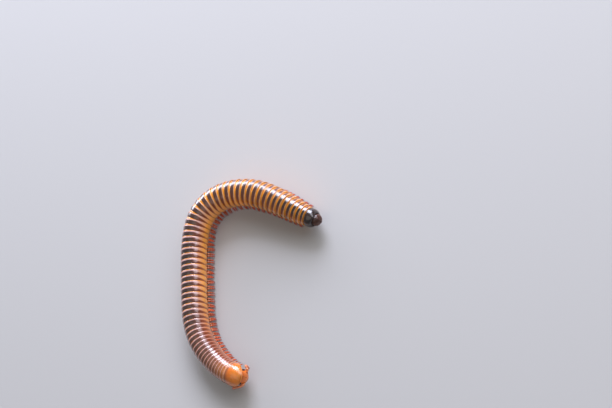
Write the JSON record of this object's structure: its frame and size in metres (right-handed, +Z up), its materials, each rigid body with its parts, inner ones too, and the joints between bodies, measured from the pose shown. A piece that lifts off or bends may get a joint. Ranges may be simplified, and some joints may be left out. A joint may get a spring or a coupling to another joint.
{
  "type": "millipede",
  "caption": "Life-size cylindrical millipede with a banded brown and orange ringed body, short legs and antennae, standing on the floor in a hook-shaped bend.",
  "frame": {"origin": "on the floor under the middle of the figure's box", "axes": "+X along the straight middle stretch of the body towards the tail, +Y towards the outside of the bend, +Z up"},
  "size_m": [0.063, 0.047, 0.0094],
  "materials": {
    "ring_cuticle": "dark brown glossy cuticle with pale hind edges and an orange lower flank",
    "collar_cuticle": "smooth glossy golden orange cuticle",
    "head_cuticle": "glossy orange cuticle",
    "leg_cuticle": "satin rust red cuticle",
    "eye_lens": "glossy black lenses"
  },
  "bodies": {
    "root": {"head": "head_cuticle", "mandible_left": "head_cuticle", "mandible_right": "head_cuticle", "gnathochilarium": "head_cuticle", "eye_left": "eye_lens", "eye_right": "eye_lens", "antenna_left": "leg_cuticle", "antenna_right": "leg_cuticle", "collum": "collar_cuticle", "rings_02_06": "ring_cuticle", "rings_07_12": "ring_cuticle", "rings_13_17": "ring_cuticle", "rings_18_22": "ring_cuticle", "rings_23_27": "ring_cuticle", "rings_28_32": "ring_cuticle", "rings_33_37": "ring_cuticle", "rings_38_41": "ring_cuticle", "rings_42_45": "ring_cuticle", "rings_46_49": "ring_cuticle", "rings_50_53": "ring_cuticle", "rings_54_58": "ring_cuticle", "telson": "ring_cuticle", "anal_valve_left": "ring_cuticle", "anal_valve_right": "ring_cuticle"}
  },
  "joints": []
}
